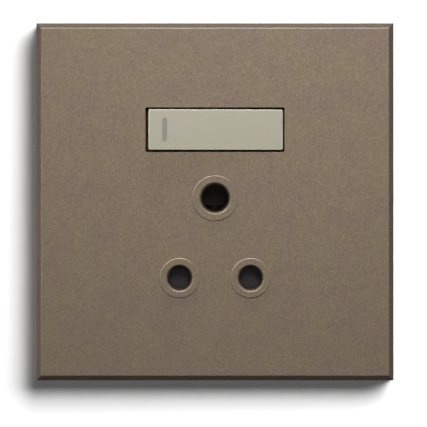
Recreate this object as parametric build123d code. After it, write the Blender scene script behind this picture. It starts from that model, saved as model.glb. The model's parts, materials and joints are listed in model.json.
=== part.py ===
"""A 16 A three-round-pin wall socket with a wide rocker switch under one square plate.

Millimetres. X runs to the right as the socket is faced, Z is up and Y runs into
the wall. The origin is the centre of the plate on the wall plane, y = 0, so all
that stands proud of the wall has a negative y.
"""

import os
from math import cos, pi, radians, sin

from build123d import *

# The plug that the socket takes: two line pins and a longer, thicker earth pin.
LINE_PIN_R = 7.06 / 2
EARTH_PIN_R = 8.71 / 2
LINE_SPACING = 25.4
EARTH_RISE = 28.575
LINE_PIN_LENGTH = 18.6
EARTH_PIN_LENGTH = 28.6
EARTH_Z = 1.3
LINE_Z = EARTH_Z - EARTH_RISE
LINE_X = LINE_SPACING / 2

# Cover plate
PLATE_SIZE = 128.0
PLATE_DEPTH = 9.0
PLATE_BEVEL = 1.9
PLATE_EDGE_ROUND = 0.35
FACE_WALL = 2.2
SKIRT_WALL = 2.0
SKIRT_INNER = PLATE_SIZE / 2 - SKIRT_WALL
FACE_BACK_Y = FACE_WALL - PLATE_DEPTH
COLLAR_RISE = 0.5
COLLAR_ROUND = 0.35
LINE_COLLAR_R = 7.2
EARTH_COLLAR_R = 8.2
COLLAR_FRONT_Y = -PLATE_DEPTH - COLLAR_RISE
THROAT_CLEARANCE = 0.22
MOUTH_FLARE = 1.1
FLARE_DEPTH = 2.0
MOUTH_ROUND = 0.3
BORE_TUBE_WALL = 1.4
RIB_WALL = 1.2
RIB_HEIGHT = 2.0
RIB_X = 45.0

# Snap fastening between the plate and its frame
TAB_PITCH = 70.0
TAB_WIDTH = 9.0
TAB_WALL = 1.4
TAB_TO_SKIRT = 1.6
TAB_TO_FRAME = 0.3
HOOK_REACH = 0.9
HOOK_HEIGHT = 1.4
HOOK_CLEARANCE = 0.25
TAB_TIP_Y = -1.0

# Support frame that is screwed to the wall box
SHEET = 1.2
RIM_HEIGHT = 4.5
FRAME_CORNER = 3.0
FRAME_HALF = SKIRT_INNER - TAB_TO_SKIRT - TAB_WALL - TAB_TO_FRAME
BOX_SCREW_CENTRES = 83.5
BOX_SCREW_HOLE_R = 2.2
BOX_SCREW_PAD_R = 5.0
WINDOW_CLEARANCE = 0.5

# Switched socket module: front moulding and housing
HOUSING_WALL = 1.6
HOUSING_FLOOR = 2.0
HOUSING_BACK_Y = 27.0
HOUSING_CORNER = 2.5
HOUSING_EDGE = 0.8
FLOOR_Y = HOUSING_BACK_Y - HOUSING_FLOOR
FLANGE_WALL = 1.7
FLANGE_BACK_Y = -SHEET
FLANGE_FRONT_Y = FLANGE_BACK_Y - FLANGE_WALL
FRONT_BORE_CLEARANCE = 0.9
PLATE_TO_FLANGE = 0.3
BORE_TUBE_END_Y = FLANGE_FRONT_Y - PLATE_TO_FLANGE
BARRIER_Z = 17.9
BARRIER_WALL = 1.4
POST_R = 2.0

# Rocker
ROCKER_Z = 25.8
ROCKER_LENGTH = 48.1
ROCKER_HEIGHT = 14.5
ROCKER_END_GAP = 0.85
ROCKER_SIDE_GAP = 0.75
ROCKER_PROUD = 1.1
ROCKER_FRONT_Y = -PLATE_DEPTH - ROCKER_PROUD
ROCKER_FRONT_WALL = 1.6
ROCKER_SIDE_WALL = 1.2
ROCKER_CORNER = 0.6
ROCKER_RIB_X = 12.0
ROCKER_EDGE = 0.4
ROCKER_TILT = 2.8
ROCKER_WELL_HALF = 13.0
ROCKER_PIVOT_Y = -4.2
ROCKER_PIN_R = 1.25
PIN_RUNNING = 0.05
EAR_WALL = 2.0
EAR_GAP = 0.3
EAR_HALF_WIDTH = 3.0
EAR_OVER_PIN = 0.85
SKIRT_END_Y = -5.4
SKIRT_MIDDLE_Y = -2.6
SKIRT_MIDDLE_HALF = 5.0
LENS_INSET = 5.75
LENS_X = LENS_INSET - ROCKER_LENGTH / 2
LENS_WIDTH = 1.6
LENS_LENGTH = 8.4
LENS_POCKET = 1.1
LENS_SUNK = 0.12
LENS_CLEARANCE = 0.05

# Plunger that flips the switch contact
TUBE_R = 3.0
TUBE_BORE_R = 1.6
TUBE_END_Y = 2.0
PLUNGER_R = 1.5
PLUNGER_BACK_Y = -3.2
PLUNGER_GAP = 0.25
PLUNGER_WIRE_R = 0.17
PLUNGER_SPRING_R = 1.2
PLUNGER_TURNS = 5
PLUNGER_POINT = 0.9
COIL_STEPS = 12

# Switch contact arm
STRAP = 1.2
STRAP_Y = 11.3
ARM_PIVOT_Y = 7.2
ARM_WALL = 1.4
ARM_HALF_WIDTH = 3.0
ARM_REACH = 17.5
ARM_TAIL = 5.0
ARM_TILT = 5.0
ARM_PIN_R = 0.9
ARM_PIN_CLEARANCE = 0.08
BRACKET_EAR_WALL = 1.2
BRACKET_EAR_HALF = 2.1
TIP_X = 15.5
TIP_R = 1.9
TIP_RISE = 1.1
TIP_EDGE = 0.5
FIXED_TIP_GAP = 0.08

# Socket contacts
SLEEVE_WALL = 1.2
SLEEVE_END = 1.2
SLEEVE_SLOT = 1.0
SLEEVE_GRIP = 0.03
LINE_SLEEVE_Y = 1.2
EARTH_SLEEVE_Y = 7.4
EARTH_SLEEVE_BACK_Y = 20.6
GRIP_RING = 0.5
GRIP_RING_WIDTH = 3.0
GRIP_RING_GAP = 0.05
GRIP_RING_SPLIT = 1.6
RIVET_R = 1.2
STRAP_HALF = 3.0
STRAP_END = 3.5

# Terminals for the supply wires
TERMINAL_X = -19.0
TERMINAL_LENGTH = 8.0
TERMINAL_WIDTH = 7.0
TERMINAL_FRONT_Y = STRAP_Y + STRAP
TERMINAL_BACK_Y = 22.5
WIRE_R = 2.1
WIRE_Y = 16.0
WIRE_ENTRY = 6.4
WIRE_ENTRY_CORNER = 0.8
SUPPLY_Z = 25.0
NEUTRAL_TERMINAL_Z = -24.5
TERMINAL_SCREW_R = 1.75
SCREW_FIT = 0.05
TERMINAL_SCREW_TIP_Y = WIRE_Y + WIRE_R + 0.5
TERMINAL_HEAD_R = 2.6
TERMINAL_HEAD = 1.8
TERMINAL_HEAD_Y = 23.2
SCREW_ACCESS_R = 3.1
DRIVER_SLOT = 0.8
DRIVER_SLOT_DEPTH = 0.9

# Safety shutter
SHUTTER_TRAVEL = 7.6
SHUTTER_WALL = 1.8
SHUTTER_GAP = 0.2
SHUTTER_FRONT_Y = FLANGE_BACK_Y + SHUTTER_GAP
SHUTTER_BACK_Y = SHUTTER_FRONT_Y + SHUTTER_WALL
SHUTTER_HALF_WIDTH = 18.0
SHUTTER_COVER = 3.8
SHUTTER_BAR_HEIGHT = 8.4
SHUTTER_RAIL_X = EARTH_PIN_R + 0.85
SHUTTER_RAIL = 2.0
RAMP_TIP = 0.6
RAMP_CROWN = 3.0
RAMP_SHOULDER = 4.0
RAMP_TOP_Z = EARTH_Z + EARTH_PIN_R + 0.15
GUIDE_WALL = 1.5
GUIDE_TOP_Z = -12.0
SPRING_Y = 1.4
SPRING_R = 1.9
SPRING_WIRE_R = 0.22
SPRING_TURNS = 6
SPRING_SEAT_HEIGHT = 2.4
SPRING_SEAT_HALF = 3.0
SPRING_STOP_Z = -8.0
SPRING_STOP_HEIGHT = 2.0

# Screws that hold the module together and to the frame
COLUMN_R = 2.6
COLUMN_TO_TERMINAL = 0.6
COLUMN_TO_WALL = 0.1
COLUMN_MEET_Y = 10.0
SLEEVE_TO_WALL = 0.5
PILOT_R = 1.2
HOUSING_SCREW_HOLE_R = 1.5
HOUSING_SCREW_TIP_Y = 2.5
HOUSING_HEAD_R = 2.3
HOUSING_HEAD = 1.3
HOUSING_HEAD_SUNK = 0.1
FRAME_SCREW_Z = 22.0
FRAME_SCREW_R = 1.5
FRAME_SCREW_HOLE_R = 1.7
FRAME_HEAD_R = 2.8
FRAME_HEAD = 1.6
FRAME_SCREW_TIP_Y = 2.2
FRAME_BOSS_R = 3.0
FRAME_BOSS_TO_WINDOW = 0.6
FRAME_HEAD_TO_EDGE = 0.6

# Outlines that follow from what they hold
HOUSING_SCREW_X = TERMINAL_LENGTH / 2 - TERMINAL_X + COLUMN_TO_TERMINAL + COLUMN_R
HOUSING_HALF_X = HOUSING_SCREW_X + COLUMN_R + COLUMN_TO_WALL + HOUSING_WALL
LINE_RING_R = LINE_PIN_R + SLEEVE_GRIP + SLEEVE_WALL + GRIP_RING_GAP + GRIP_RING
HOUSING_HALF_Z = LINE_RING_R - LINE_Z + SLEEVE_TO_WALL + HOUSING_WALL
HOUSING_SCREW_Z = HOUSING_HALF_Z - HOUSING_WALL - COLUMN_TO_WALL - COLUMN_R
FRAME_SCREW_X = HOUSING_HALF_X + WINDOW_CLEARANCE + FRAME_BOSS_TO_WINDOW + FRAME_BOSS_R
FLANGE_HALF = FRAME_SCREW_X + FRAME_HEAD_R + FRAME_HEAD_TO_EDGE


def facing(y):
    """Drawing plane at depth y, seen from the front: its height grows towards the viewer."""
    return Plane((0, y, 0), x_dir=(1, 0, 0), z_dir=(0, -1, 0))


def slab(sketch, front_y, back_y):
    """The sketch, drawn as seen from the front, made solid between two depths."""
    return extrude(facing(back_y) * sketch, back_y - front_y)


def bar(x0, x1, front_y, back_y, z0, z1):
    """A rectangular bar between two corners."""
    middle = Pos((x0 + x1) / 2, (z0 + z1) / 2)
    return slab(middle * Rectangle(x1 - x0, z1 - z0), front_y, back_y)


def rod(radius, x, z, front_y, back_y):
    """A round bar along Y."""
    return slab(Pos(x, z) * Circle(radius), front_y, back_y)


def cross_rod(radius, y, z0, z1, x=0.0):
    """A round bar along Z."""
    return extrude(Plane((x, y, z0)) * Circle(radius), z1 - z0)


def turned(points, x, z):
    """A turned solid: (radius, y) points, spun about the line along Y through x, z."""
    profile = Plane((x, 0, z)) * make_face(Polyline(*points, close=True))
    return revolve(profile, axis=Axis((x, 0, z), (0, 1, 0)))


def on_four_sides(shape):
    """The shape, which belongs to the right side, on all four sides of the plate."""
    return [Rot(0, quarter * 90, 0) * shape for quarter in range(4)]


def tilted_rocker(shape):
    """A shape of the level rocker, leaning as in the off position: left end out."""
    pivot = Pos(0, ROCKER_PIVOT_Y, 0)
    return pivot * Rot(0, 0, ROCKER_TILT) * pivot.inverse() * shape


def tilted_arm(shape):
    """A shape of the level contact arm, leaning as in the off position: contact open."""
    pivot = Pos(0, ARM_PIVOT_Y, 0)
    return pivot * Rot(0, 0, -ARM_TILT) * pivot.inverse() * shape


def bores():
    """The three pin bores of the plate: x, z, pin radius and collar radius."""
    return [
        (0.0, EARTH_Z, EARTH_PIN_R, EARTH_COLLAR_R),
        (LINE_X, LINE_Z, LINE_PIN_R, LINE_COLLAR_R),
        (-LINE_X, LINE_Z, LINE_PIN_R, LINE_COLLAR_R),
    ]


def snap_tab():
    """A spring tab of the plate's right side with a hook that points inwards."""
    outer = SKIRT_INNER - TAB_TO_SKIRT
    inner = outer - TAB_WALL
    hook = inner - TAB_TO_FRAME - HOOK_REACH
    profile = make_face(
        Polyline(
            (inner, FACE_BACK_Y),
            (outer, FACE_BACK_Y),
            (outer, TAB_TIP_Y),
            (inner, TAB_TIP_Y),
            (hook, TAB_TIP_Y - HOOK_HEIGHT + 0.5),
            (hook, TAB_TIP_Y - HOOK_HEIGHT),
            (inner, TAB_TIP_Y - HOOK_HEIGHT),
            close=True,
        )
    )
    return extrude(Plane((0, 0, -TAB_WIDTH / 2)) * profile, TAB_WIDTH)


def cover_plate():
    """One moulding: bevelled face, skirt, three collars with flared bores, rocker window, snap tabs."""
    plate = slab(Rectangle(PLATE_SIZE, PLATE_SIZE), -PLATE_DEPTH, 0)
    plate = chamfer(plate.faces().sort_by(Axis.Y)[0].edges(), PLATE_BEVEL)
    plate = fillet(plate.faces().sort_by(Axis.Y)[0].edges(), PLATE_EDGE_ROUND)
    plate -= slab(Rectangle(2 * SKIRT_INNER, 2 * SKIRT_INNER), FACE_BACK_Y, 0)
    for side in (-1, 1):
        x = side * RIB_X
        plate += bar(
            x - RIB_WALL / 2, x + RIB_WALL / 2,
            FACE_BACK_Y, FACE_BACK_Y + RIB_HEIGHT,
            -SKIRT_INNER, SKIRT_INNER,
        )
    for x, z, pin_r, collar_r in bores():
        throat_r = pin_r + THROAT_CLEARANCE
        tube = turned(
            [
                (0, COLLAR_FRONT_Y),
                (collar_r, COLLAR_FRONT_Y),
                (collar_r, FACE_BACK_Y),
                (throat_r + BORE_TUBE_WALL, FACE_BACK_Y),
                (throat_r + BORE_TUBE_WALL, BORE_TUBE_END_Y),
                (0, BORE_TUBE_END_Y),
            ],
            x, z,
        )
        collar_edge = tube.edges().filter_by(GeomType.CIRCLE).sort_by(Axis.Y)[0]
        plate += fillet(collar_edge, COLLAR_ROUND)
    for x, z, pin_r, collar_r in bores():
        throat_r = pin_r + THROAT_CLEARANCE
        mouth_r = throat_r + MOUTH_FLARE
        plate -= turned(
            [
                (0, COLLAR_FRONT_Y - 1),
                (mouth_r, COLLAR_FRONT_Y - 1),
                (mouth_r, COLLAR_FRONT_Y),
                (throat_r, COLLAR_FRONT_Y + FLARE_DEPTH),
                (throat_r, 0),
                (0, 0),
            ],
            x, z,
        )
    mouths = [
        edge
        for edge in plate.edges().filter_by(GeomType.CIRCLE)
        if abs(edge.center().Y - COLLAR_FRONT_Y) < 1e-4
        and min(abs(edge.radius - pin_r - THROAT_CLEARANCE - MOUTH_FLARE) for _, _, pin_r, _ in bores()) < 1e-4
    ]
    plate = fillet(mouths, MOUTH_ROUND)
    window = RectangleRounded(
        ROCKER_LENGTH + 2 * ROCKER_END_GAP, ROCKER_HEIGHT + 2 * ROCKER_SIDE_GAP, ROCKER_CORNER
    )
    plate -= slab(Pos(0, ROCKER_Z) * window, -PLATE_DEPTH - 1, FACE_BACK_Y + 1)
    for along in (-TAB_PITCH / 2, TAB_PITCH / 2):
        for tab in on_four_sides(Pos(0, 0, along) * snap_tab()):
            plate += tab
    return plate


def support_frame():
    """Moulded frame on the wall box: a sheet with a turned-up rim that the plate's tabs hook into."""
    outline = RectangleRounded(2 * FRAME_HALF, 2 * FRAME_HALF, FRAME_CORNER)
    frame = slab(outline, -SHEET, 0)
    inner = FRAME_HALF - SHEET
    rim = outline - RectangleRounded(2 * inner, 2 * inner, FRAME_CORNER - SHEET)
    frame += slab(rim, -RIM_HEIGHT, 0)
    for x in (-FRAME_SCREW_X, FRAME_SCREW_X):
        for z in (-FRAME_SCREW_Z, FRAME_SCREW_Z):
            frame += rod(FRAME_BOSS_R, x, z, -SHEET, FRAME_SCREW_TIP_Y + 0.4)
    window = Rectangle(
        2 * (HOUSING_HALF_X + WINDOW_CLEARANCE), 2 * (HOUSING_HALF_Z + WINDOW_CLEARANCE)
    )
    frame -= slab(window, -SHEET, FRAME_SCREW_TIP_Y + 1)
    for x in (-FRAME_SCREW_X, FRAME_SCREW_X):
        for z in (-FRAME_SCREW_Z, FRAME_SCREW_Z):
            frame -= rod(FRAME_SCREW_R + SCREW_FIT, x, z, -SHEET, FRAME_SCREW_TIP_Y)
    for z in (-BOX_SCREW_CENTRES / 2, BOX_SCREW_CENTRES / 2):
        frame -= rod(BOX_SCREW_HOLE_R, 0, z, -SHEET, 0)
    catch = bar(
        FRAME_HALF - SHEET - 1, FRAME_HALF + 1,
        TAB_TIP_Y - HOOK_HEIGHT - HOOK_CLEARANCE, TAB_TIP_Y + HOOK_CLEARANCE,
        -TAB_WIDTH / 2 - HOOK_CLEARANCE, TAB_WIDTH / 2 + HOOK_CLEARANCE,
    )
    for along in (-TAB_PITCH / 2, TAB_PITCH / 2):
        for slot in on_four_sides(Pos(0, 0, along) * catch):
            frame -= slot
    return frame


def ear_places():
    """The inner face height and the outward direction of both rocker ears."""
    reach = ROCKER_HEIGHT / 2 + EAR_GAP
    return [(ROCKER_Z + side * reach, side) for side in (-1, 1)]


def module_front():
    """Front moulding of the module: flange, pin holes, rocker ears, shutter guides, screw columns."""
    front = slab(RectangleRounded(2 * FLANGE_HALF, 2 * FLANGE_HALF, 2.0), FLANGE_FRONT_Y, FLANGE_BACK_Y)
    for inner_z, side in ear_places():
        front_y = ROCKER_PIVOT_Y - ROCKER_PIN_R - EAR_OVER_PIN
        ear = slab(
            Pos(0, inner_z + side * EAR_WALL / 2) * Rectangle(2 * EAR_HALF_WIDTH, EAR_WALL),
            front_y, FLANGE_FRONT_Y,
        )
        front += ear
        bore_start = inner_z - 1 if side > 0 else inner_z - EAR_WALL - 1
        front -= cross_rod(ROCKER_PIN_R + PIN_RUNNING, ROCKER_PIVOT_Y, bore_start, bore_start + EAR_WALL + 2)
    for x in (-HOUSING_SCREW_X, HOUSING_SCREW_X):
        for z in (-HOUSING_SCREW_Z, HOUSING_SCREW_Z):
            front += rod(COLUMN_R, x, z, FLANGE_BACK_Y, COLUMN_MEET_Y)
            front -= rod(PILOT_R, x, z, HOUSING_SCREW_TIP_Y - 1, COLUMN_MEET_Y)
    for side in (-1, 1):
        inner = side * (SHUTTER_HALF_WIDTH + SHUTTER_GAP)
        outer = side * (SHUTTER_HALF_WIDTH + SHUTTER_GAP + GUIDE_WALL)
        front += bar(
            min(inner, outer), max(inner, outer),
            FLANGE_BACK_Y, SHUTTER_BACK_Y,
            LINE_Z - SHUTTER_COVER - SHUTTER_GAP, GUIDE_TOP_Z,
        )
    front += bar(
        -SHUTTER_RAIL_X + SHUTTER_GAP, SHUTTER_RAIL_X - SHUTTER_GAP,
        FLANGE_BACK_Y, SPRING_Y + SPRING_R + SPRING_WIRE_R,
        SPRING_STOP_Z, SPRING_STOP_Z + SPRING_STOP_HEIGHT,
    )
    for x, z, pin_r, _ in bores():
        front -= rod(pin_r + THROAT_CLEARANCE + FRONT_BORE_CLEARANCE, x, z, FLANGE_FRONT_Y, FLANGE_BACK_Y)
    well = Rectangle(2 * ROCKER_WELL_HALF, ROCKER_HEIGHT + 2 * EAR_GAP)
    front -= slab(Pos(0, ROCKER_Z) * well, FLANGE_FRONT_Y, FLANGE_BACK_Y)
    for x in (-FRAME_SCREW_X, FRAME_SCREW_X):
        for z in (-FRAME_SCREW_Z, FRAME_SCREW_Z):
            front -= rod(FRAME_SCREW_HOLE_R, x, z, FLANGE_FRONT_Y, FLANGE_BACK_Y)
    return front


def terminals():
    """The z of the supply, earth and neutral terminals, from the top down."""
    return [SUPPLY_Z, EARTH_Z, NEUTRAL_TERMINAL_Z]


def module_base():
    """Housing: an open box with posts, a barrier, wire entries and screwdriver holes."""
    outer = RectangleRounded(2 * HOUSING_HALF_X, 2 * HOUSING_HALF_Z, HOUSING_CORNER)
    inner = RectangleRounded(
        2 * (HOUSING_HALF_X - HOUSING_WALL),
        2 * (HOUSING_HALF_Z - HOUSING_WALL),
        HOUSING_CORNER - HOUSING_WALL,
    )
    base = slab(outer, FLANGE_BACK_Y, HOUSING_BACK_Y)
    base = chamfer(base.faces().sort_by(Axis.Y)[-1].edges(), HOUSING_EDGE)
    base -= slab(inner, FLANGE_BACK_Y, FLOOR_Y)
    side = HOUSING_HALF_X - HOUSING_WALL
    base += bar(
        -side, side, STRAP_Y + STRAP + 0.5, FLOOR_Y,
        BARRIER_Z - BARRIER_WALL / 2, BARRIER_Z + BARRIER_WALL / 2,
    )
    for x, z, seat_y in (
        (LINE_X, LINE_Z, STRAP_Y + STRAP),
        (-LINE_X, LINE_Z, STRAP_Y + STRAP),
        (0, EARTH_Z, EARTH_SLEEVE_BACK_Y + STRAP),
        (TIP_X, ROCKER_Z, STRAP_Y + STRAP),
        (0, ROCKER_Z, STRAP_Y + STRAP),
    ):
        base += rod(POST_R, x, z, seat_y, FLOOR_Y)
    for z in terminals():
        base += rod(SCREW_ACCESS_R + 1.4, TERMINAL_X, z, TERMINAL_BACK_Y, FLOOR_Y)
    for x in (-HOUSING_SCREW_X, HOUSING_SCREW_X):
        for z in (-HOUSING_SCREW_Z, HOUSING_SCREW_Z):
            base += rod(COLUMN_R, x, z, COLUMN_MEET_Y, FLOOR_Y)
            base -= rod(HOUSING_SCREW_HOLE_R, x, z, COLUMN_MEET_Y, HOUSING_BACK_Y)
            head_room = HOUSING_HEAD + HOUSING_HEAD_SUNK
            base -= rod(HOUSING_HEAD_R + 0.3, x, z, HOUSING_BACK_Y - head_room, HOUSING_BACK_Y)
    for z in terminals():
        base -= rod(SCREW_ACCESS_R, TERMINAL_X, z, TERMINAL_BACK_Y, HOUSING_BACK_Y)
        window = RectangleRounded(WIRE_ENTRY, WIRE_ENTRY, WIRE_ENTRY_CORNER)
        base -= extrude(Plane((-HOUSING_HALF_X, WIRE_Y, z), x_dir=(0, 1, 0), z_dir=(1, 0, 0)) * window, HOUSING_WALL)
    return base


def rocker_skirt():
    """Side view of the rocker, seen from above: deep at the pivot, shallow at the ends."""
    half = ROCKER_LENGTH / 2
    return make_face(
        Polyline(
            (-half, ROCKER_FRONT_Y),
            (half, ROCKER_FRONT_Y),
            (half, SKIRT_END_Y),
            (SKIRT_MIDDLE_HALF, SKIRT_MIDDLE_Y),
            (-SKIRT_MIDDLE_HALF, SKIRT_MIDDLE_Y),
            (-half, SKIRT_END_Y),
            close=True,
        )
    )


def rocker():
    """Hollow rocker with its pivot pins, plunger tube and the pocket of its marker."""
    low = ROCKER_Z - ROCKER_HEIGHT / 2
    body = extrude(Plane((0, 0, low)) * rocker_skirt(), ROCKER_HEIGHT)
    outline = Pos(0, ROCKER_Z) * RectangleRounded(ROCKER_LENGTH, ROCKER_HEIGHT, ROCKER_CORNER)
    body &= slab(outline, ROCKER_FRONT_Y, 0)
    body = fillet(body.faces().sort_by(Axis.Y)[0].edges(), ROCKER_EDGE)
    room = Pos(0, ROCKER_Z) * Rectangle(
        ROCKER_LENGTH - 2 * ROCKER_SIDE_WALL, ROCKER_HEIGHT - 2 * ROCKER_SIDE_WALL
    )
    body -= slab(room, ROCKER_FRONT_Y + ROCKER_FRONT_WALL, 0)
    under = ROCKER_FRONT_Y + ROCKER_FRONT_WALL
    body += rod(TUBE_R, 0, ROCKER_Z, under, TUBE_END_Y)
    for x in (-ROCKER_RIB_X, ROCKER_RIB_X):
        body += bar(
            x - RIB_WALL / 2, x + RIB_WALL / 2, under, under + RIB_HEIGHT,
            low + ROCKER_SIDE_WALL, low + ROCKER_HEIGHT - ROCKER_SIDE_WALL,
        )
    for inner_z, side in ear_places():
        root_z = inner_z - side * EAR_GAP
        tip_z = inner_z + side * EAR_WALL
        body += cross_rod(ROCKER_PIN_R, ROCKER_PIVOT_Y, min(root_z, tip_z), max(root_z, tip_z))
    body -= rod(TUBE_BORE_R, 0, ROCKER_Z, under, TUBE_END_Y)
    pocket = Pos(LENS_X, ROCKER_Z) * SlotOverall(LENS_LENGTH, LENS_WIDTH, rotation=90)
    body -= slab(pocket, ROCKER_FRONT_Y - 1, ROCKER_FRONT_Y + LENS_POCKET)
    return tilted_rocker(body)


def rocker_lens():
    """Upright marker bar set in the rocker's pocket."""
    trim = 2 * LENS_CLEARANCE
    outline = Pos(LENS_X, ROCKER_Z) * SlotOverall(LENS_LENGTH - trim, LENS_WIDTH - trim, rotation=90)
    return tilted_rocker(slab(outline, ROCKER_FRONT_Y + LENS_SUNK, ROCKER_FRONT_Y + LENS_POCKET))


def plunger_tip_y():
    """How far back the level plunger reaches: just short of the contact arm."""
    return ARM_PIVOT_Y - ARM_WALL / 2 - PLUNGER_GAP


def rocker_plunger():
    """Round plunger with a coned end, guided in the rocker's tube."""
    tip_y = plunger_tip_y()
    body = rod(PLUNGER_R, 0, ROCKER_Z, PLUNGER_BACK_Y, tip_y)
    return tilted_rocker(chamfer(body.edges().sort_by(Axis.Y)[-1], PLUNGER_POINT))


def coil(radius, wire_r, turns, length):
    """A compression spring along Z, from its lower to its upper end, as short straight lengths of wire."""
    run = length - 2 * wire_r
    steps = turns * COIL_STEPS
    corners = [
        (radius * cos(2 * pi * step / COIL_STEPS), radius * sin(2 * pi * step / COIL_STEPS),
         wire_r + run * step / steps)
        for step in range(steps + 1)
    ]
    path = Polyline(*corners)
    section = Plane(path @ 0, x_dir=(0, 0, 1), z_dir=path % 0) * RegularPolygon(wire_r, 6)
    return sweep(section, path, transition=Transition.RIGHT)


def plunger_spring():
    """Spring between the rocker's front wall and the plunger."""
    start_y = ROCKER_FRONT_Y + ROCKER_FRONT_WALL
    spring = coil(PLUNGER_SPRING_R, PLUNGER_WIRE_R, PLUNGER_TURNS, PLUNGER_BACK_Y - start_y)
    return tilted_rocker(Pos(0, start_y, ROCKER_Z) * Rot(-90, 0, 0) * spring)


def contact_arm():
    """Seesaw lever with its cross pin."""
    front_y = ARM_PIVOT_Y - ARM_WALL / 2
    low = ROCKER_Z - ARM_HALF_WIDTH
    high = ROCKER_Z + ARM_HALF_WIDTH
    arm = bar(-ARM_TAIL, ARM_REACH, front_y, front_y + ARM_WALL, low, high)
    arm = fillet(arm.edges().filter_by(Axis.Y), 1.0)
    reach = BRACKET_EAR_WALL + 0.6
    arm += cross_rod(ARM_PIN_R, ARM_PIVOT_Y, low - reach, high + reach)
    return tilted_arm(arm)


def moving_contact_tip():
    """Bevelled contact rivet on the arm's end."""
    seat_y = ARM_PIVOT_Y + ARM_WALL / 2
    rivet = rod(TIP_R, TIP_X, ROCKER_Z, seat_y, seat_y + TIP_RISE)
    return tilted_arm(chamfer(rivet.edges().sort_by(Axis.Y)[-1], TIP_EDGE))


def closed_contact_y():
    """Depth of the moving tip's face when the switch is on."""
    face = ARM_WALL / 2 + TIP_RISE
    edge_x = TIP_X + TIP_R - TIP_EDGE
    return ARM_PIVOT_Y + face * cos(radians(ARM_TILT)) + edge_x * sin(radians(ARM_TILT))


def fixed_contact_tip():
    """Flat contact rivet that the moving tip meets."""
    return rod(TIP_R, TIP_X, ROCKER_Z, closed_contact_y() + FIXED_TIP_GAP, STRAP_Y)


def pivot_bracket():
    """Strap from the supply terminal to the two ears that carry the arm."""
    left = TERMINAL_X - TERMINAL_LENGTH / 2
    reach = ARM_HALF_WIDTH + 0.3
    low = ROCKER_Z - reach - BRACKET_EAR_WALL
    high = ROCKER_Z + reach + BRACKET_EAR_WALL
    bracket = bar(
        left, BRACKET_EAR_HALF, STRAP_Y, STRAP_Y + STRAP, ROCKER_Z - STRAP_HALF, ROCKER_Z + STRAP_HALF
    )
    bracket += bar(-BRACKET_EAR_HALF, BRACKET_EAR_HALF, STRAP_Y, STRAP_Y + STRAP, low, high)
    ear_front = ARM_PIVOT_Y - ARM_PIN_R - 0.9
    for z in (low, high - BRACKET_EAR_WALL):
        bracket += bar(-BRACKET_EAR_HALF, BRACKET_EAR_HALF, ear_front, STRAP_Y, z, z + BRACKET_EAR_WALL)
    bracket -= cross_rod(ARM_PIN_R + ARM_PIN_CLEARANCE, ARM_PIVOT_Y, low - 1, high + 1)
    return bracket


def sleeve(x, z, pin_r, front_y, back_y, split_up):
    """Turned split contact sleeve with a closed end and a rivet stub."""
    inner_r = pin_r + SLEEVE_GRIP
    outer_r = inner_r + SLEEVE_WALL
    body = turned(
        [
            (inner_r + 0.4, front_y),
            (outer_r, front_y),
            (outer_r, back_y),
            (0, back_y),
            (0, back_y - SLEEVE_END),
            (inner_r, back_y - SLEEVE_END),
            (inner_r, front_y + 0.6),
        ],
        x, z,
    )
    far = outer_r + 1
    near_z, far_z = (z, z + far) if split_up else (z - far, z)
    body -= bar(x - SLEEVE_SLOT / 2, x + SLEEVE_SLOT / 2, front_y, back_y - SLEEVE_END - 1, near_z, far_z)
    return body + rod(RIVET_R, x, z, back_y, back_y + STRAP)


def grip_ring(x, z, pin_r, front_y, split_up):
    """Split steel ring that squeezes a sleeve on the pin."""
    inner_r = pin_r + SLEEVE_GRIP + SLEEVE_WALL + GRIP_RING_GAP
    ring = slab(
        Pos(x, z) * (Circle(inner_r + GRIP_RING) - Circle(inner_r)), front_y, front_y + GRIP_RING_WIDTH
    )
    far = inner_r + 1
    near_z, far_z = (z, z + far) if split_up else (z - far, z)
    return ring - bar(
        x - GRIP_RING_SPLIT / 2, x + GRIP_RING_SPLIT / 2, front_y, front_y + GRIP_RING_WIDTH, near_z, far_z
    )


def line_sleeve(x):
    return sleeve(x, LINE_Z, LINE_PIN_R, LINE_SLEEVE_Y, STRAP_Y, True)


def earth_sleeve():
    return sleeve(0, EARTH_Z, EARTH_PIN_R, EARTH_SLEEVE_Y, EARTH_SLEEVE_BACK_Y, False)


def line_grip_rings():
    return [grip_ring(x, LINE_Z, LINE_PIN_R, LINE_SLEEVE_Y + 2.6, True) for x in (-LINE_X, LINE_X)]


def earth_grip_ring():
    return grip_ring(0, EARTH_Z, EARTH_PIN_R, EARTH_SLEEVE_Y + 3.0, False)


def live_link():
    """Strap from the fixed switch contact down to the live sleeve."""
    left = min(TIP_X, LINE_X) - STRAP_HALF
    right = max(TIP_X, LINE_X) + STRAP_HALF
    link = bar(left, right, STRAP_Y, STRAP_Y + STRAP, LINE_Z - STRAP_END, ROCKER_Z + STRAP_END)
    link = fillet(link.edges().filter_by(Axis.Y), 1.5)
    return link - rod(RIVET_R + SCREW_FIT, LINE_X, LINE_Z, STRAP_Y, STRAP_Y + STRAP)


def neutral_strap():
    """Strap from the neutral sleeve to its terminal."""
    left = TERMINAL_X - TERMINAL_LENGTH / 2
    strap = bar(
        left, -LINE_X + STRAP_END, STRAP_Y, STRAP_Y + STRAP,
        LINE_Z - STRAP_HALF, NEUTRAL_TERMINAL_Z + STRAP_HALF,
    )
    strap = fillet(strap.edges().filter_by(Axis.Y), 1.2)
    return strap - rod(RIVET_R + SCREW_FIT, -LINE_X, LINE_Z, STRAP_Y, STRAP_Y + STRAP)


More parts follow.
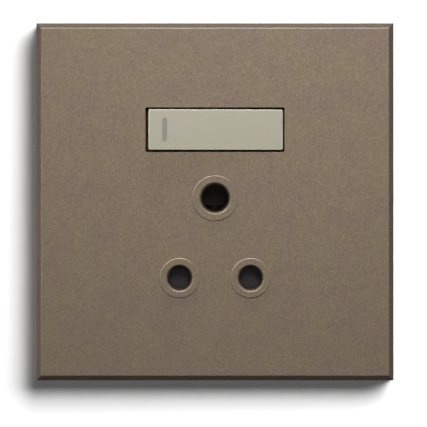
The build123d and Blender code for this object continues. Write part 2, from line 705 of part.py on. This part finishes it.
def earth_strap():
    """Strap from the earth sleeve to the side of its terminal."""
    left = TERMINAL_X + TERMINAL_LENGTH / 2
    back_y = EARTH_SLEEVE_BACK_Y + STRAP
    strap = bar(left, STRAP_END, EARTH_SLEEVE_BACK_Y, back_y, EARTH_Z - STRAP_HALF, EARTH_Z + STRAP_HALF)
    return strap - rod(RIVET_R + SCREW_FIT, 0, EARTH_Z, EARTH_SLEEVE_BACK_Y, back_y)


def terminal(z):
    """Brass block with a cross hole for the wire and a threaded hole for its screw."""
    half = TERMINAL_LENGTH / 2
    block = bar(
        TERMINAL_X - half, TERMINAL_X + half, TERMINAL_FRONT_Y, TERMINAL_BACK_Y,
        z - TERMINAL_WIDTH / 2, z + TERMINAL_WIDTH / 2,
    )
    block = chamfer(block.faces().sort_by(Axis.Y)[-1].edges(), 0.5)
    wire = Plane((TERMINAL_X - half, WIRE_Y, z), x_dir=(0, 1, 0), z_dir=(1, 0, 0)) * Circle(WIRE_R)
    block -= extrude(wire, TERMINAL_LENGTH)
    return block - rod(TERMINAL_SCREW_R, TERMINAL_X, z, WIRE_Y, TERMINAL_BACK_Y)


def slotted_screw(x, z, shank_r, tip_y, head_y, head_r, head, towards_back):
    """Cheese-head screw along Y; its head is at the back or at the front."""
    if towards_back:
        screw = rod(shank_r, x, z, tip_y, head_y) + rod(head_r, x, z, head_y, head_y + head)
        cut = (head_y + head - DRIVER_SLOT_DEPTH, head_y + head)
    else:
        screw = rod(shank_r, x, z, head_y, tip_y) + rod(head_r, x, z, head_y - head, head_y)
        cut = (head_y - head, head_y - head + DRIVER_SLOT_DEPTH)
    return screw - bar(x - head_r - 1, x + head_r + 1, cut[0], cut[1], z - DRIVER_SLOT / 2, z + DRIVER_SLOT / 2)


def terminal_screws():
    shank_r = TERMINAL_SCREW_R - SCREW_FIT
    return [
        slotted_screw(
            TERMINAL_X, z, shank_r, TERMINAL_SCREW_TIP_Y, TERMINAL_HEAD_Y, TERMINAL_HEAD_R, TERMINAL_HEAD, True
        )
        for z in terminals()
    ]


def housing_screws():
    head_y = HOUSING_BACK_Y - HOUSING_HEAD - HOUSING_HEAD_SUNK
    return [
        slotted_screw(
            x, z, PILOT_R - SCREW_FIT, HOUSING_SCREW_TIP_Y, head_y, HOUSING_HEAD_R, HOUSING_HEAD, True
        )
        for x in (-HOUSING_SCREW_X, HOUSING_SCREW_X)
        for z in (-HOUSING_SCREW_Z, HOUSING_SCREW_Z)
    ]


def frame_screws():
    return [
        slotted_screw(
            x, z, FRAME_SCREW_R, FRAME_SCREW_TIP_Y, FLANGE_FRONT_Y, FRAME_HEAD_R, FRAME_HEAD, False
        )
        for x in (-FRAME_SCREW_X, FRAME_SCREW_X)
        for z in (-FRAME_SCREW_Z, FRAME_SCREW_Z)
    ]


def shutter():
    """Slide that closes both line bores: the earth pin's tip lifts it by its ramp."""
    bar_low = LINE_Z - SHUTTER_COVER
    bar_high = bar_low + SHUTTER_BAR_HEIGHT
    slide = bar(-SHUTTER_HALF_WIDTH, SHUTTER_HALF_WIDTH, SHUTTER_FRONT_Y, SHUTTER_BACK_Y, bar_low, bar_high)
    slide = fillet(slide.edges().filter_by(Axis.Y), 1.0)
    crown = RAMP_TOP_Z + RAMP_CROWN
    outer = SHUTTER_RAIL_X + SHUTTER_RAIL
    for x0, x1 in ((-outer, -SHUTTER_RAIL_X), (SHUTTER_RAIL_X, outer)):
        slide += bar(x0, x1, SHUTTER_FRONT_Y, SHUTTER_BACK_Y, bar_low + SHUTTER_RAIL, crown)
    ramp_low = RAMP_TOP_Z - SHUTTER_TRAVEL
    ramp_back = SHUTTER_FRONT_Y + SHUTTER_TRAVEL
    wedge = make_face(
        Polyline(
            (SHUTTER_FRONT_Y, crown),
            (SHUTTER_FRONT_Y, RAMP_TOP_Z),
            (ramp_back - RAMP_TIP, ramp_low + RAMP_TIP),
            (ramp_back, ramp_low + RAMP_TIP),
            (ramp_back, crown - RAMP_SHOULDER),
            (SHUTTER_BACK_Y + RAMP_SHOULDER / 2, crown),
            close=True,
        )
    )
    slide += extrude(Plane((-outer, 0, 0), x_dir=(0, 1, 0), z_dir=(1, 0, 0)) * wedge, 2 * outer)
    seat_back = SPRING_Y + SPRING_R + SPRING_WIRE_R
    return slide + bar(
        -SPRING_SEAT_HALF, SPRING_SEAT_HALF, SHUTTER_FRONT_Y, seat_back,
        bar_high, bar_high + SPRING_SEAT_HEIGHT,
    )


def shutter_spring():
    """Return spring between the shutter's seat and the front moulding's stop."""
    low = LINE_Z - SHUTTER_COVER + SHUTTER_BAR_HEIGHT + SPRING_SEAT_HEIGHT
    return Pos(0, SPRING_Y, low) * coil(SPRING_R, SPRING_WIRE_R, SPRING_TURNS, SPRING_STOP_Z - low)


def save(node, shape):
    """Write one node; a list of solids is kept as a group."""
    solids = shape if isinstance(shape, list) else [shape]
    bodies = [solid for item in solids for solid in item.solids()]
    export_step(bodies[0] if len(bodies) == 1 else Compound(children=bodies), f"parts/{node}.step")


os.makedirs("parts", exist_ok=True)
save("cover_plate", cover_plate())
save("support_frame", support_frame())
save("module_front", module_front())
save("module_base", module_base())
save("rocker", rocker())
save("rocker_lens", rocker_lens())
save("rocker_plunger", rocker_plunger())
save("plunger_spring", plunger_spring())
save("contact_arm", contact_arm())
save("moving_contact_tip", moving_contact_tip())
save("fixed_contact_tip", fixed_contact_tip())
save("pivot_bracket", pivot_bracket())
save("live_link", live_link())
save("live_sleeve", line_sleeve(LINE_X))
save("neutral_sleeve", line_sleeve(-LINE_X))
save("earth_sleeve", earth_sleeve())
save("line_grip_rings", line_grip_rings())
save("earth_grip_ring", earth_grip_ring())
save("neutral_strap", neutral_strap())
save("earth_strap", earth_strap())
save("supply_terminal", terminal(SUPPLY_Z))
save("earth_terminal", terminal(EARTH_Z))
save("neutral_terminal", terminal(NEUTRAL_TERMINAL_Z))
save("terminal_screws", terminal_screws())
save("housing_screws", housing_screws())
save("frame_screws", frame_screws())
save("shutter", shutter())
save("shutter_spring", shutter_spring())
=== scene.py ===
# %% [markdown]
# # A switched wall socket
#
# The object is one power socket under a square bronze plate, with a wide
# champagne rocker above three round pin holes. All its pieces but two springs come
# straight from the CAD model, so this lesson is about three things: finishes that
# are made of nodes, springs wound in round wire for the switch and the shutter,
# and light that reads the bevels and leaves a soft shadow on the wall.

import json
from math import cos, pi, radians, sin

import bpy
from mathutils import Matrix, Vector


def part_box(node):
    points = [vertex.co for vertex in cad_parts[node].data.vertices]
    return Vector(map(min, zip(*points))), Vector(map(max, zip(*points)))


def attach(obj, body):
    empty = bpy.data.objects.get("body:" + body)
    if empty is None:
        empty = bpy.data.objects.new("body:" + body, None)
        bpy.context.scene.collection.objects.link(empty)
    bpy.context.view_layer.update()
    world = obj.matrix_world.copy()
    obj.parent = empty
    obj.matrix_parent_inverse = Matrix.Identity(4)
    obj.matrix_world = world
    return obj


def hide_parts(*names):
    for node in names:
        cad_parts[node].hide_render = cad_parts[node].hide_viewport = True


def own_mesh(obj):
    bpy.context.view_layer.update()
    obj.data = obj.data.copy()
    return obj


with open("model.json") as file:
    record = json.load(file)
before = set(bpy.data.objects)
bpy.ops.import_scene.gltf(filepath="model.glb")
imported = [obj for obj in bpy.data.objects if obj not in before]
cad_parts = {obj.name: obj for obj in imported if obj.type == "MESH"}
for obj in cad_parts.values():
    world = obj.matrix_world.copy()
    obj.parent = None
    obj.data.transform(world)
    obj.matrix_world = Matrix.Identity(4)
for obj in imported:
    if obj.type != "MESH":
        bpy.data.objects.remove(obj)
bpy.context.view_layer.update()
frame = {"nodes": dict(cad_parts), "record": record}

# %% [markdown]
# ## Shader maths that reads like maths
#
# A finish is a chain of nodes. Wiring each Math node by hand hides the idea, so
# one small class wraps a socket and turns + - * ** into Math nodes. The reflected
# forms let a plain number stand on the left, as in 1 - mask. Numbers alone are
# worked out in Python.


# %% The wire and the finish
TO_FRONT = (0, -1, 0)
BEVEL_LEAN = 0.707


class Wire:
    """An output socket that can be used in an expression."""

    def __init__(self, finish, socket):
        self.finish = finish
        self.socket = socket

    def maths(self, operation, *others, clamp=False):
        values = {0: self, **{i + 1: other for i, other in enumerate(others)}}
        settings = {"operation": operation, "use_clamp": clamp}
        return self.finish.node("ShaderNodeMath", settings, values)[0]

    def __add__(self, other):
        return self.maths("ADD", other)

    def __sub__(self, other):
        return self.maths("SUBTRACT", other)

    def __rsub__(self, other):
        return (self * -1) + other

    def __mul__(self, other):
        return self.maths("MULTIPLY", other)

    def __pow__(self, other):
        return self.maths("POWER", other)

    def clipped(self):
        return self.maths("ADD", 0.0, clamp=True)

    __radd__ = __add__
    __rmul__ = __mul__


class Finish:
    """One material, built from nodes. The world's air is built in the same way."""

    def __init__(self, name, owner=None):
        self.owner = owner or bpy.data.materials.new(name)
        self.owner.use_nodes = True
        self.tree = self.owner.node_tree
        self.tree.nodes.clear()

    def node(self, kind, settings=None, values=None):
        """Add a node: its settings first, then its sockets. Returns its outputs as wires."""
        made = self.tree.nodes.new(kind)
        for setting, value in (settings or {}).items():
            setattr(made, setting, value)
        for key, value in (values or {}).items():
            if isinstance(value, Wire):
                self.tree.links.new(value.socket, made.inputs[key])
            else:
                made.inputs[key].default_value = value
        return Outputs(self, made)

    def mix(self, share, first, second):
        """Blend two colours."""
        values = {"Factor": share, 6: first, 7: second}
        return self.node("ShaderNodeMix", {"data_type": "RGBA"}, values).last_colour()

    def noise(self, scale, detail=3.0, roughness=0.5, where=None):
        """A noise of the given cells per metre, from 0 to 1."""
        values = {"Scale": scale, "Detail": detail, "Roughness": roughness}
        values["Vector"] = where or self.place()
        return self.node("ShaderNodeTexNoise", None, values)["Fac"]

    def place(self):
        """The point on the piece, in metres."""
        return self.node("ShaderNodeTexCoord")["Object"]

    def eye(self):
        """1 for what the camera sees straight, in a gloss or through something clear."""
        ray = self.node("ShaderNodeLightPath")
        return (ray["Is Camera Ray"] + ray["Is Glossy Ray"] + ray["Is Transmission Ray"]).clipped()

    def vectors(self, operation, *sides):
        """A vector sum. Its first output is a vector, and "Value" is a number."""
        return self.node("ShaderNodeVectorMath", {"operation": operation}, dict(enumerate(sides)))

    def along(self, axis):
        """The point's coordinate along X, Y or Z."""
        return self.node("ShaderNodeSeparateXYZ", None, {"Vector": self.place()})[axis]

    def depth(self, front, reach):
        """1 in the hollows that lie behind the front and within reach of the middle."""
        flat = self.vectors("MULTIPLY", self.place(), (1, 0, 1))[0]
        away = self.vectors("LENGTH", flat)["Value"]
        return ((self.along("Y") + front) * 2500).clipped() * ((reach - away) * 500).clipped()

    def openness(self, reach):
        """1 on open faces, falling to 0 deep inside hollows narrower than the reach."""
        return self.node("ShaderNodeAmbientOcclusion", {"samples": 8}, {"Distance": reach})["AO"]

    def edges(self):
        """1 where the surface rounds over from the front face, 0 on flat faces."""
        front = self.leaning(TO_FRONT)
        return ((front - 0.76) * 12).clipped() * ((0.985 - front) * 40).clipped()

    def bevels(self):
        """1 where the surface slopes half away from the front, 0 elsewhere."""
        front = self.leaning(TO_FRONT)
        return (1 - (front - BEVEL_LEAN).maths("ABSOLUTE") * 25).clipped()

    def leaning(self, way):
        """How far the surface faces a way, from -1 to 1. The way belongs to the piece."""
        normal = self.node("ShaderNodeTexCoord")["Normal"]
        return self.vectors("DOT_PRODUCT", normal, way)["Value"]

    def bump(self, height, distance, strength=1.0):
        values = {"Height": height, "Distance": distance, "Strength": strength}
        return self.node("ShaderNodeBump", None, values)[0]

    def surface(self, **values):
        """End the chain in a Principled shader."""
        named = {name.replace("_", " "): value for name, value in values.items()}
        shader = self.node("ShaderNodeBsdfPrincipled", None, named)[0]
        self.node("ShaderNodeOutputMaterial", None, {"Surface": shader})
        return self.owner


class Outputs:
    """The outputs of one node, by name or by number."""

    def __init__(self, finish, made):
        self.finish = finish
        self.made = made

    def __getitem__(self, key):
        return Wire(self.finish, self.made.outputs[key])

    def last_colour(self):
        return Wire(self.finish, self.made.outputs[2])


def colour(red, green, blue):
    """A colour given as the screen shows it, 0 to 255, turned into light."""
    def light(level):
        level /= 255
        return level / 12.92 if level <= 0.04045 else ((level + 0.055) / 1.055) ** 2.4
    return (light(red), light(green), light(blue), 1)


print("helpers ready")

# %% [markdown]
# ## Bronze plate
#
# The plate is a moulding with a metallic lacquer. Close up it has a fine sandy
# grain, and across a hand's breadth its tint wanders between olive and plum. A
# metal shader would mirror the room too plainly. A lacquer keeps most of its
# colour from any side, so the base stays a plain reflector and a little metal is
# mixed in for the flakes. The rounded edges are smoother than the faces, with a
# clear shine, and the upper ones, a little to the left, carry a painted highlight:
# they are painted pale. An edge is found by the way it faces: neither straight to
# the front nor down the slope of the bevel. The bevel has painted shade, a darker
# colour than the face. So have the bores and the sides of the rocker's window,
# which are painted dark behind the plate's front.


# %% Bronze lacquer
# Painted shade in the hollows: from this depth behind the front, within this reach of the middle,
# in this colour.
SHADE_FROM_DEPTH = 0.0088
HOLLOWS_REACH = 0.055
PAINTED_HOLLOW_SHADE = colour(30, 26, 23)
# The colour of the bevel's painted shade.
PAINTED_BEVEL_SHADE = colour(34, 30, 28)
# The colour of the upper edges' painted highlight.
PAINTED_EDGE_HIGHLIGHT = colour(250, 236, 216)


def bronze_lacquer():
    paint = Finish("bronze_lacquer")
    tint = paint.noise(95, 2.0, 0.5)
    grain = paint.noise(1500, 4.0, 0.65)
    flake = paint.noise(4200, 1.0, 0.5)
    tone = paint.mix((tint * 3.2 - 1.1).clipped(), colour(134, 119, 96), colour(130, 112, 101))
    lit = ((grain - 0.5) * 2.6 + 0.5).clipped()
    shaded = paint.mix(lit, colour(104, 92, 79), colour(158, 141, 122))
    body = paint.mix(0.62, shaded, tone)
    sparkle = ((flake - 0.62) * 9).clipped()
    flecked = paint.mix(sparkle * 0.4, body, colour(204, 189, 166))
    # Painted shade: the bevel gets a darker colour than the face.
    flecked = paint.mix(paint.bevels() * 0.5, flecked, PAINTED_BEVEL_SHADE)
    edge = paint.edges()
    # Painted highlight: rounded edges that face up and a little left are painted pale.
    wear_and_highlight = edge * (paint.leaning((-0.4, 0, 0.92)) * 3 - 0.6).clipped()
    flecked = paint.mix(wear_and_highlight, flecked, PAINTED_EDGE_HIGHLIGHT)
    # Painted shade: surfaces behind the front, within reach of the middle, are painted dark.
    hollow_shade = paint.depth(SHADE_FROM_DEPTH, HOLLOWS_REACH)
    flecked = paint.mix(hollow_shade * 0.82, flecked, PAINTED_HOLLOW_SHADE)
    return paint.surface(
        Base_Color=flecked,
        Metallic=(sparkle * 0.4 + 0.02).clipped(),
        Roughness=(grain * 0.2 + 0.4).clipped(),
        Specular_IOR_Level=0.04,
        Coat_Weight=edge,
        Coat_Roughness=0.25,
        Normal=paint.bump(grain * 0.7 + flake * 0.3, 0.0001, 0.7),
    )


# %% [markdown]
# ## Champagne rocker and its marker
#
# The rocker has the same kind of lacquer, paler and smoother. Its edges carry a
# painted highlight, a pale colour, most on the lower and side ones, which the lamp
# above lights least. The marker is a smooth grey bar, let into the face.


# %% Champagne lacquer and marker
def champagne_lacquer():
    paint = Finish("champagne_lacquer")
    tint = paint.noise(70, 2.0, 0.5)
    grain = paint.noise(1900, 4.0, 0.6)
    tone = paint.mix((tint * 2 - 0.5).clipped(), colour(159, 156, 135), colour(162, 156, 141))
    body = paint.mix(((grain - 0.5) * 0.6 + 0.12).clipped(), tone, colour(178, 174, 156))
    # Painted highlight: rounded edges are painted pale, most on the lower and side ones, which the
    # lamp above lights least.
    lower_edge_highlight = (0.8 - paint.leaning((0, 0, 1))).clipped()
    body = paint.mix(paint.edges() * lower_edge_highlight, body, colour(252, 246, 226))
    return paint.surface(
        Base_Color=body,
        Metallic=0.1,
        Roughness=(grain * 0.14 + 0.4).clipped(),
        Specular_IOR_Level=0.25,
        Normal=paint.bump(grain, 0.00003, 0.45),
    )


def grey_marker():
    paint = Finish("grey_marker")
    haze = paint.noise(900, 2.0)
    body = paint.mix((haze - 0.3).clipped(), colour(121, 122, 109), colour(127, 128, 114))
    return paint.surface(Base_Color=body, Roughness=(haze * 0.1 + 0.32).clipped())


# %% [markdown]
# ## Mouldings behind the plate
#
# The module is black in front, so that the holes read dark, and off-white behind.
# The frame is light grey. Moulded plastic has a faint cloudiness in its colour, a
# fine spark-eroded skin and dust that dulls it unevenly. One function with a few
# numbers makes all of them. The shutter is dark grey, and its ramp, which the earth
# pin slides up, is rubbed paler: that is the part above a height.


# %% Moulded plastic
def moulding(name, dark, pale, dulling, shine=0.5, wear_and_highlight=None):
    skin = Finish(name)
    cloud = skin.noise(60, 3.0, 0.55)
    pits = skin.noise(3000, 3.0, 0.6)
    dust = skin.noise(240, 4.0, 0.6)
    body = skin.mix((cloud * 1.4 - 0.2).clipped(), dark, pale)
    if wear_and_highlight:
        height, bare = wear_and_highlight
        body = skin.mix(((skin.along("Z") - height) * 500).clipped(), body, bare)
    return skin.surface(
        Base_Color=body,
        Roughness=(dust * 0.18 + dulling).clipped(),
        Specular_IOR_Level=shine,
        Normal=skin.bump(pits, 0.00004, 0.4),
    )


# %% [markdown]
# ## Metals
#
# Straps and sleeves are brass, the switch arm is copper and its rivets are
# silver. Pressed and turned metal shows fine lines from its tool, and brass and
# copper darken in patches where fingers have been. The lines are a noise that is
# stretched along one axis, by scaling the place before it is read. Deep inside a
# sleeve, and in every hollow, the metal has painted shade: an occlusion reading
# paints it dark brown.


# %% Worked metal
def worked_metal(name, clean, dull, gloss, stretch):
    metal = Finish(name)
    along = metal.node("ShaderNodeMapping", None, {"Vector": metal.place(), "Scale": stretch})[0]
    lines = metal.noise(2600, 3.0, 0.6, where=along)
    patches = metal.noise(180, 4.0, 0.6)
    stain = ((patches - 0.48) * 3.2).clipped()
    body = metal.mix(stain * 0.6, clean, dull)
    # Painted shade: in hollows the metal is painted dark brown, by an occlusion reading.
    body = metal.mix(metal.openness(0.02) ** 0.8, colour(24, 19, 14), body)
    return metal.surface(
        Base_Color=body,
        Metallic=1.0,
        Roughness=(stain * 0.2 + lines * 0.12 + gloss).clipped(),
        Normal=metal.bump(lines, 0.00002, 0.35),
    )


# %% [markdown]
# ## Dressing the nodes
#
# Each CAD node already knows the material slot of its record, so a finish is
# made once for a slot and given to every node that names it. The shutter alone has
# a finish of its own.

# %% Give each node its finish
RAMP_FOOT_Z = -0.01
mouldings = {
    "black_moulding": (colour(44, 36, 24), colour(54, 46, 32), 0.42, 0.2),
    "dark_grey_moulding": (
        colour(27, 24, 24), colour(31, 28, 28), 0.5, 0.2, (RAMP_FOOT_Z, colour(50, 47, 45))
    ),
    "white_moulding": (colour(203, 200, 191), colour(214, 211, 203), 0.38),
    "grey_moulding": (colour(148, 149, 147), colour(161, 161, 158), 0.4),
}
metals = {
    "brass": (colour(205, 172, 112), colour(148, 116, 72), 0.24, (1, 0.06, 1)),
    "copper": (colour(201, 140, 108), colour(134, 88, 66), 0.26, (0.06, 1, 1)),
    "silver": (colour(222, 221, 216), colour(170, 166, 156), 0.2, (1, 1, 0.2)),
    "zinc_steel": (colour(196, 198, 201), colour(142, 143, 143), 0.27, (1, 0.08, 1)),
    "spring_steel": (colour(178, 179, 182), colour(120, 120, 122), 0.25, (1, 1, 0.1)),
}
finishes = {
    "bronze_plate": bronze_lacquer(),
    "champagne_rocker": champagne_lacquer(),
    "grey_marker": grey_marker(),
}
finishes.update({name: moulding(name, *facts) for name, facts in mouldings.items()})
finishes.update({name: worked_metal(name, *facts) for name, facts in metals.items()})
OWN_FINISH = {"shutter": "dark_grey_moulding"}
for part in frame["record"]["subparts"]:
    mesh = frame["nodes"][part["node"]].data
    mesh.materials.clear()
    mesh.materials.append(finishes[OWN_FINISH.get(part["node"], part["material_slot"])])

# %% [markdown]
# ## Springs in round wire
#
# A spring shortens as its joint moves, which a rigid node can't show. Each of
# the two springs gets a piece of its own, wound like its node but in round wire,
# in the node's place. What it would keep at the joint's limit, its length there
# over its length at rest, is worked out but not applied to the piece. The sizes
# are those of the CAD nodes.
# The piece is a tube: rings of points, one after another along the coil, joined
# into a skin and closed at both ends.

# %% Two coil springs
STEPS_PER_TURN = 28
WIRE_SIDES = 10


def coil_spring(name, start, way, length, travel, coil_radius, wire_radius, turns):
    """A compression spring from start along way, at rest. It returns the share of its length kept
    when travel shortens it.
    """
    way = Vector(way).normalized()
    side = way.orthogonal().normalized()
    up = way.cross(side)
    rise = (length - 2 * wire_radius) / (turns * STEPS_PER_TURN)
    slope = rise * STEPS_PER_TURN / (2 * pi * coil_radius)
    rings = turns * STEPS_PER_TURN + 1
    corners = []
    for step in range(rings):
        turn = 2 * pi * step / STEPS_PER_TURN
        outward = side * cos(turn) + up * sin(turn)
        onward = up * cos(turn) - side * sin(turn) + way * slope
        across = onward.normalized().cross(outward)
        centre = Vector(start) + way * (wire_radius + rise * step) + outward * coil_radius
        for point in range(WIRE_SIDES):
            angle = 2 * pi * point / WIRE_SIDES
            corners.append(centre + (outward * cos(angle) + across * sin(angle)) * wire_radius)
    last = len(corners) - WIRE_SIDES
    faces = [tuple(reversed(range(WIRE_SIDES))), tuple(range(last, len(corners)))]
    for low in range(0, last, WIRE_SIDES):
        for point in range(WIRE_SIDES):
            here = low + point
            beside = low + (point + 1) % WIRE_SIDES
            faces.append((here, beside, beside + WIRE_SIDES, here + WIRE_SIDES))
    mesh = bpy.data.meshes.new(name)
    mesh.from_pydata(corners, [], faces)
    mesh.materials.append(finishes["spring_steel"])
    for face in mesh.polygons:
        face.use_smooth = len(face.vertices) == 4
    spring = bpy.data.objects.new(name, mesh)
    bpy.context.scene.collection.objects.link(spring)
    print(name, "triangles:", sum(len(face.vertices) - 2 for face in mesh.polygons))
    return spring, way, 1 - travel / length


spring, way, kept = coil_spring(
    "shutter_coil",
    start=(0, 0.0014, -0.020275),
    way=(0, 0, 1),
    length=0.012275,
    travel=0.0076,
    coil_radius=0.0019,
    wire_radius=0.00022,
    turns=6,
)
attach(spring, "socket")
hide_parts("shutter_spring")
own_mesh(spring)

PLUNGER_SEAT = (0.00021, -0.008495, 0.0258)
spring, way, kept = coil_spring(
    "plunger_coil",
    start=PLUNGER_SEAT,
    way=(-0.04885, 0.998806, 0),
    length=0.0053,
    travel=0.0008,
    coil_radius=0.0012,
    wire_radius=0.00017,
    turns=5,
)
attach(spring, "rocker")
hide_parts("plunger_spring")
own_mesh(spring)

# %% [markdown]
# ## Wall and floor
#
# The plate stands on a wall, and its soft shadow falls there, down and to the
# left. The wall has a square opening just inside the plate's outline, or it would
# show white in the pin holes and keep the light behind it off the frame. It is a
# sheet that is only seen from the room's side: from behind it lets the eye through,
# so that the housing can be looked at too. Both wall and floor show as white to the
# camera and keep the shadow as a darker tone.


# %% Room surfaces
WHITE = (1, 1, 1, 1)
SEEN = (0.8, 0.8, 0.8, 1)
BOUNCED = (0.03, 0.03, 0.03, 1)


def room_white(name, one_sided, glow):
    paint = Finish(name)
    eye = paint.eye()
    tone = paint.mix(eye, BOUNCED, SEEN)
    skin = paint.node("ShaderNodeBsdfDiffuse", None, {"Color": tone})[0]
    values = {"Color": WHITE, "Strength": eye * glow}
    shine = paint.node("ShaderNodeEmission", None, values)[0]
    lit = paint.node("ShaderNodeAddShader", None, {0: skin, 1: shine})[0]
    if one_sided:
        clear = paint.node("ShaderNodeBsdfTransparent")[0]
        behind = paint.node("ShaderNodeNewGeometry")["Backfacing"]
        lit = paint.node("ShaderNodeMixShader", None, {0: behind, 1: lit, 2: clear})[0]
    paint.node("ShaderNodeOutputMaterial", None, {"Surface": lit})
    return paint.owner


def room_sheet(name, corners, faces, material):
    mesh = bpy.data.meshes.new(name)
    mesh.from_pydata(corners, [], faces)
    mesh.materials.append(material)
    sheet = bpy.data.objects.new(name, mesh)
    bpy.context.scene.collection.objects.link(sheet)
    return sheet


def ring_of(low_x, low_z, high_x, high_z, y):
    """Four corners of a rectangle that stands at y."""
    return [(low_x, y, low_z), (high_x, y, low_z), (high_x, y, high_z), (low_x, y, high_z)]


WALL_Y = 0.0002
FLOOR_Z = -0.9
ROOM_HALF = 3
FLOOR_REACH = 4
OPENING_HALF = 0.063
wall = room_sheet(
    "wall",
    ring_of(-ROOM_HALF, FLOOR_Z, ROOM_HALF, ROOM_HALF, WALL_Y)
    + ring_of(-OPENING_HALF, -OPENING_HALF, OPENING_HALF, OPENING_HALF, WALL_Y),
    [(0, 1, 5, 4), (1, 2, 6, 5), (2, 3, 7, 6), (3, 0, 4, 7)],
    room_white("wall_white", True, 0.09),
)
room_sheet(
    "floor",
    [
        (-ROOM_HALF, -FLOOR_REACH, FLOOR_Z),
        (ROOM_HALF, -FLOOR_REACH, FLOOR_Z),
        (ROOM_HALF, FLOOR_REACH, FLOOR_Z),
        (-ROOM_HALF, FLOOR_REACH, FLOOR_Z),
    ],
    [(0, 1, 2, 3)],
    room_white("floor_white", False, 0.95),
)
print("wall opening:", 2 * OPENING_HALF, "m, facing", wall.data.polygons[0].normal[:])

# %% [markdown]
# ## Camera
#
# The photograph is taken square on, from far away: the plate's four bevels are
# equally wide. A long lens keeps that, and the camera stands where the plate's
# place and width in the frame put it. The plate is widest at the foot of its
# bevel, so that is the plane the distance is taken from.

# %% Camera square on to the plate
FRAME_PIXELS = 427
PLATE_PIXELS = 357.1
PLATE_CENTRE = (215.0, 201.8)
BEVEL_FOOT_Y = -0.0071
plate_low, plate_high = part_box("cover_plate")
metres_per_pixel = (plate_high.x - plate_low.x) / PLATE_PIXELS
lens = bpy.data.cameras.new("lens")
lens.lens = 200
lens.sensor_width = 36
camera = bpy.data.objects.new("camera", lens)
bpy.context.scene.collection.objects.link(camera)
bpy.context.scene.camera = camera
distance = FRAME_PIXELS * metres_per_pixel * lens.lens / lens.sensor_width
camera.location = (
    (FRAME_PIXELS / 2 - PLATE_CENTRE[0]) * metres_per_pixel,
    BEVEL_FOOT_Y - distance,
    -(FRAME_PIXELS / 2 - PLATE_CENTRE[1]) * metres_per_pixel,
)
camera.rotation_euler = (radians(90), 0, 0)
lens.clip_start = 0.05
lens.clip_end = 20
print("camera stands", round(distance, 3), "m away")

# %% [markdown]
# ## Light
#
# A small soft lamp stands near, a little above the camera's line and to the right.
# Being near, it lights the top of the face more than the bottom, and the lower bevel
# least of all. The wall has a lamp of its own, up and to the right, whose light
# falls on the wall alone: that is where the shadow of the plate comes from. Three
# weak lamps graze the face from above and from both sides, for the plate's own
# edges. One lights only the shutter behind the pin holes, which would be pitch
# black without it, and two stand behind for the frame and the housing.


# %% Lamps
def soft_lamp(name, place, aim, size, power, only=None, never=None):
    lamp = bpy.data.lights.new(name, "AREA")
    lamp.shape = "DISK"
    lamp.size = size
    lamp.energy = power
    holder = bpy.data.objects.new(name, lamp)
    holder.location = place
    holder.rotation_euler = (Vector(aim) - Vector(place)).to_track_quat("-Z", "Y").to_euler()
    holder.visible_camera = False
    bpy.context.scene.collection.objects.link(holder)
    if only or never:
        lit = bpy.data.collections.new(name + "_lights")
        for thing in only or never:
            lit.objects.link(thing)
        for link in lit.collection_objects:
            link.light_linking.link_state = "INCLUDE" if only else "EXCLUDE"
        holder.light_linking.receiver_collection = lit


soft_lamp("top_lamp", (0.025, -0.37, 0.165), (0, 0, 0), 0.15, 1.28, never=[wall])
soft_lamp("wall_lamp", (1.8, -1.5, 2.08), (1.8, 0, 2.08), 3.2, 450.0, only=[wall])
soft_lamp("top_fill", (0, -0.07, 0.6), (0, 0, 0), 0.12, 2.2, never=[wall])
soft_lamp("left_fill", (-0.6, -0.04, 0), (0, 0, 0), 0.12, 1.55, never=[wall])
soft_lamp("right_fill", (0.6, -0.04, 0), (0, 0, 0), 0.12, 0.44, never=[wall])
soft_lamp("hole_lamp", (0, -1.2, 0), (0, 0, 0), 0.3, 1.8, only=[frame["nodes"]["shutter"]])
soft_lamp("back_lamp", (-0.3, 0.8, 0.45), (0, 0, 0), 0.7, 10.0)
soft_lamp("side_lamp", (0.6, 0.5, 0.1), (0, 0, 0), 0.4, 3.0)

ROOM_LIGHT = 0.024
air = Finish("room_air", bpy.data.worlds.new("room"))
strength = air.eye() * (1 - ROOM_LIGHT) + ROOM_LIGHT
ground = air.node("ShaderNodeBackground", None, {"Color": WHITE, "Strength": strength})[0]
air.node("ShaderNodeOutputWorld", None, {"Surface": ground})
bpy.context.scene.world = air.owner
bpy.context.scene.view_settings.view_transform = "Standard"
